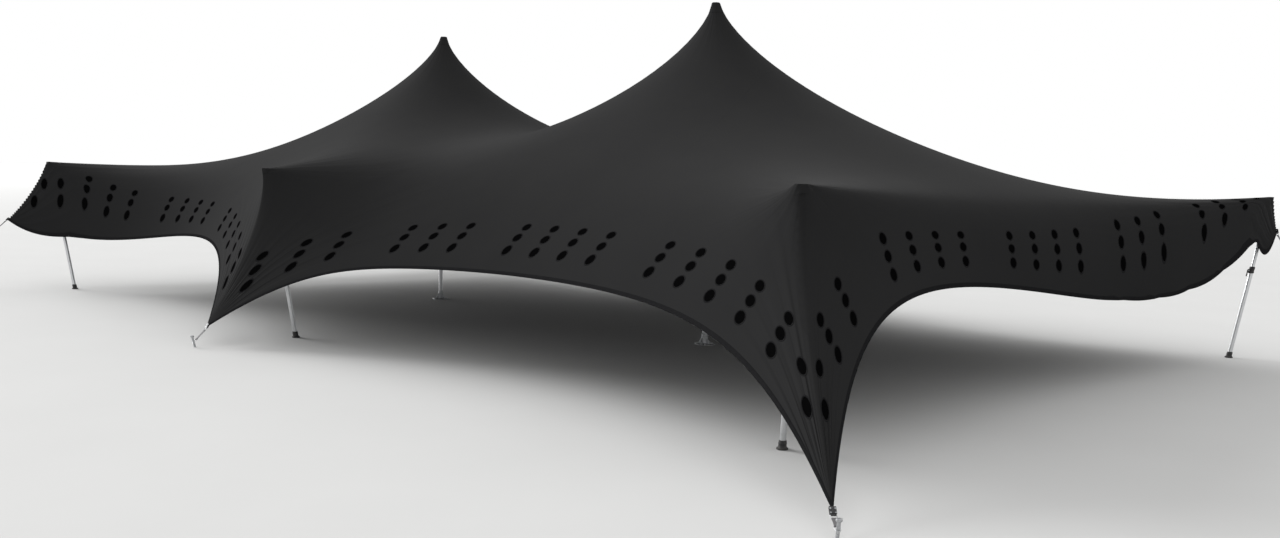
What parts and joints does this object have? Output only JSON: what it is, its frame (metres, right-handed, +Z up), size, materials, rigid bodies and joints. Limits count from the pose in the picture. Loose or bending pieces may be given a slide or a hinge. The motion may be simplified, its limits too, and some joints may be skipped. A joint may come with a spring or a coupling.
{
  "type": "stretch tent",
  "caption": "Freeform stretch tent: dark stretch fabric over masts and side poles, with rows of round vents along its hem and straps to ground stakes.",
  "frame": {"origin": "centre of the tent's box, on the ground", "axes": "+X to the right along the tent's length, front towards -Y, +Z up"},
  "size_m": [20.445, 13.545, 4.953],
  "materials": {
    "stretch_fabric": "matt knitted stretch fabric",
    "pole_aluminium": "drawn tube",
    "strap_webbing": "woven polyester webbing",
    "galvanised_steel": "dull zinc"
  },
  "bodies": {
    "root": {"corner_back_left": "stretch_fabric", "corner_back_right": "stretch_fabric", "corner_front_left": "stretch_fabric", "corner_front_right": "stretch_fabric", "leg_back": "stretch_fabric", "leg_front": "stretch_fabric", "roof_left_end": "stretch_fabric", "roof_left_mast": "stretch_fabric", "roof_middle": "stretch_fabric", "roof_right_mast": "stretch_fabric", "roof_right_end": "stretch_fabric", "vents_back_left_a": "stretch_fabric", "vents_back_left_b": "stretch_fabric", "vents_back_right_a": "stretch_fabric", "vents_back_right_b": "stretch_fabric", "vents_front_left_a": "stretch_fabric", "vents_front_left_b": "stretch_fabric", "vents_front_right_a": "stretch_fabric", "vents_front_right_b": "stretch_fabric", "vents_left_a": "stretch_fabric", "vents_left_b": "stretch_fabric", "vents_right_a": "stretch_fabric", "vents_right_b": "stretch_fabric", "mast_left": "pole_aluminium", "mast_right": "pole_aluminium", "pole_front_right": "pole_aluminium", "pole_front_middle": "pole_aluminium", "pole_front_left": "pole_aluminium", "pole_back_left": "pole_aluminium", "pole_back_middle": "pole_aluminium", "pole_back_right": "pole_aluminium", "strap_front_right": "strap_webbing", "strap_front_middle": "strap_webbing", "strap_front_left": "strap_webbing", "strap_back_left": "strap_webbing", "strap_back_middle": "strap_webbing", "strap_back_right": "strap_webbing", "stake_front_right": "galvanised_steel", "stake_front_middle": "galvanised_steel", "stake_front_left": "galvanised_steel", "stake_back_left": "galvanised_steel", "stake_back_middle": "galvanised_steel", "stake_back_right": "galvanised_steel"}
  },
  "joints": []
}
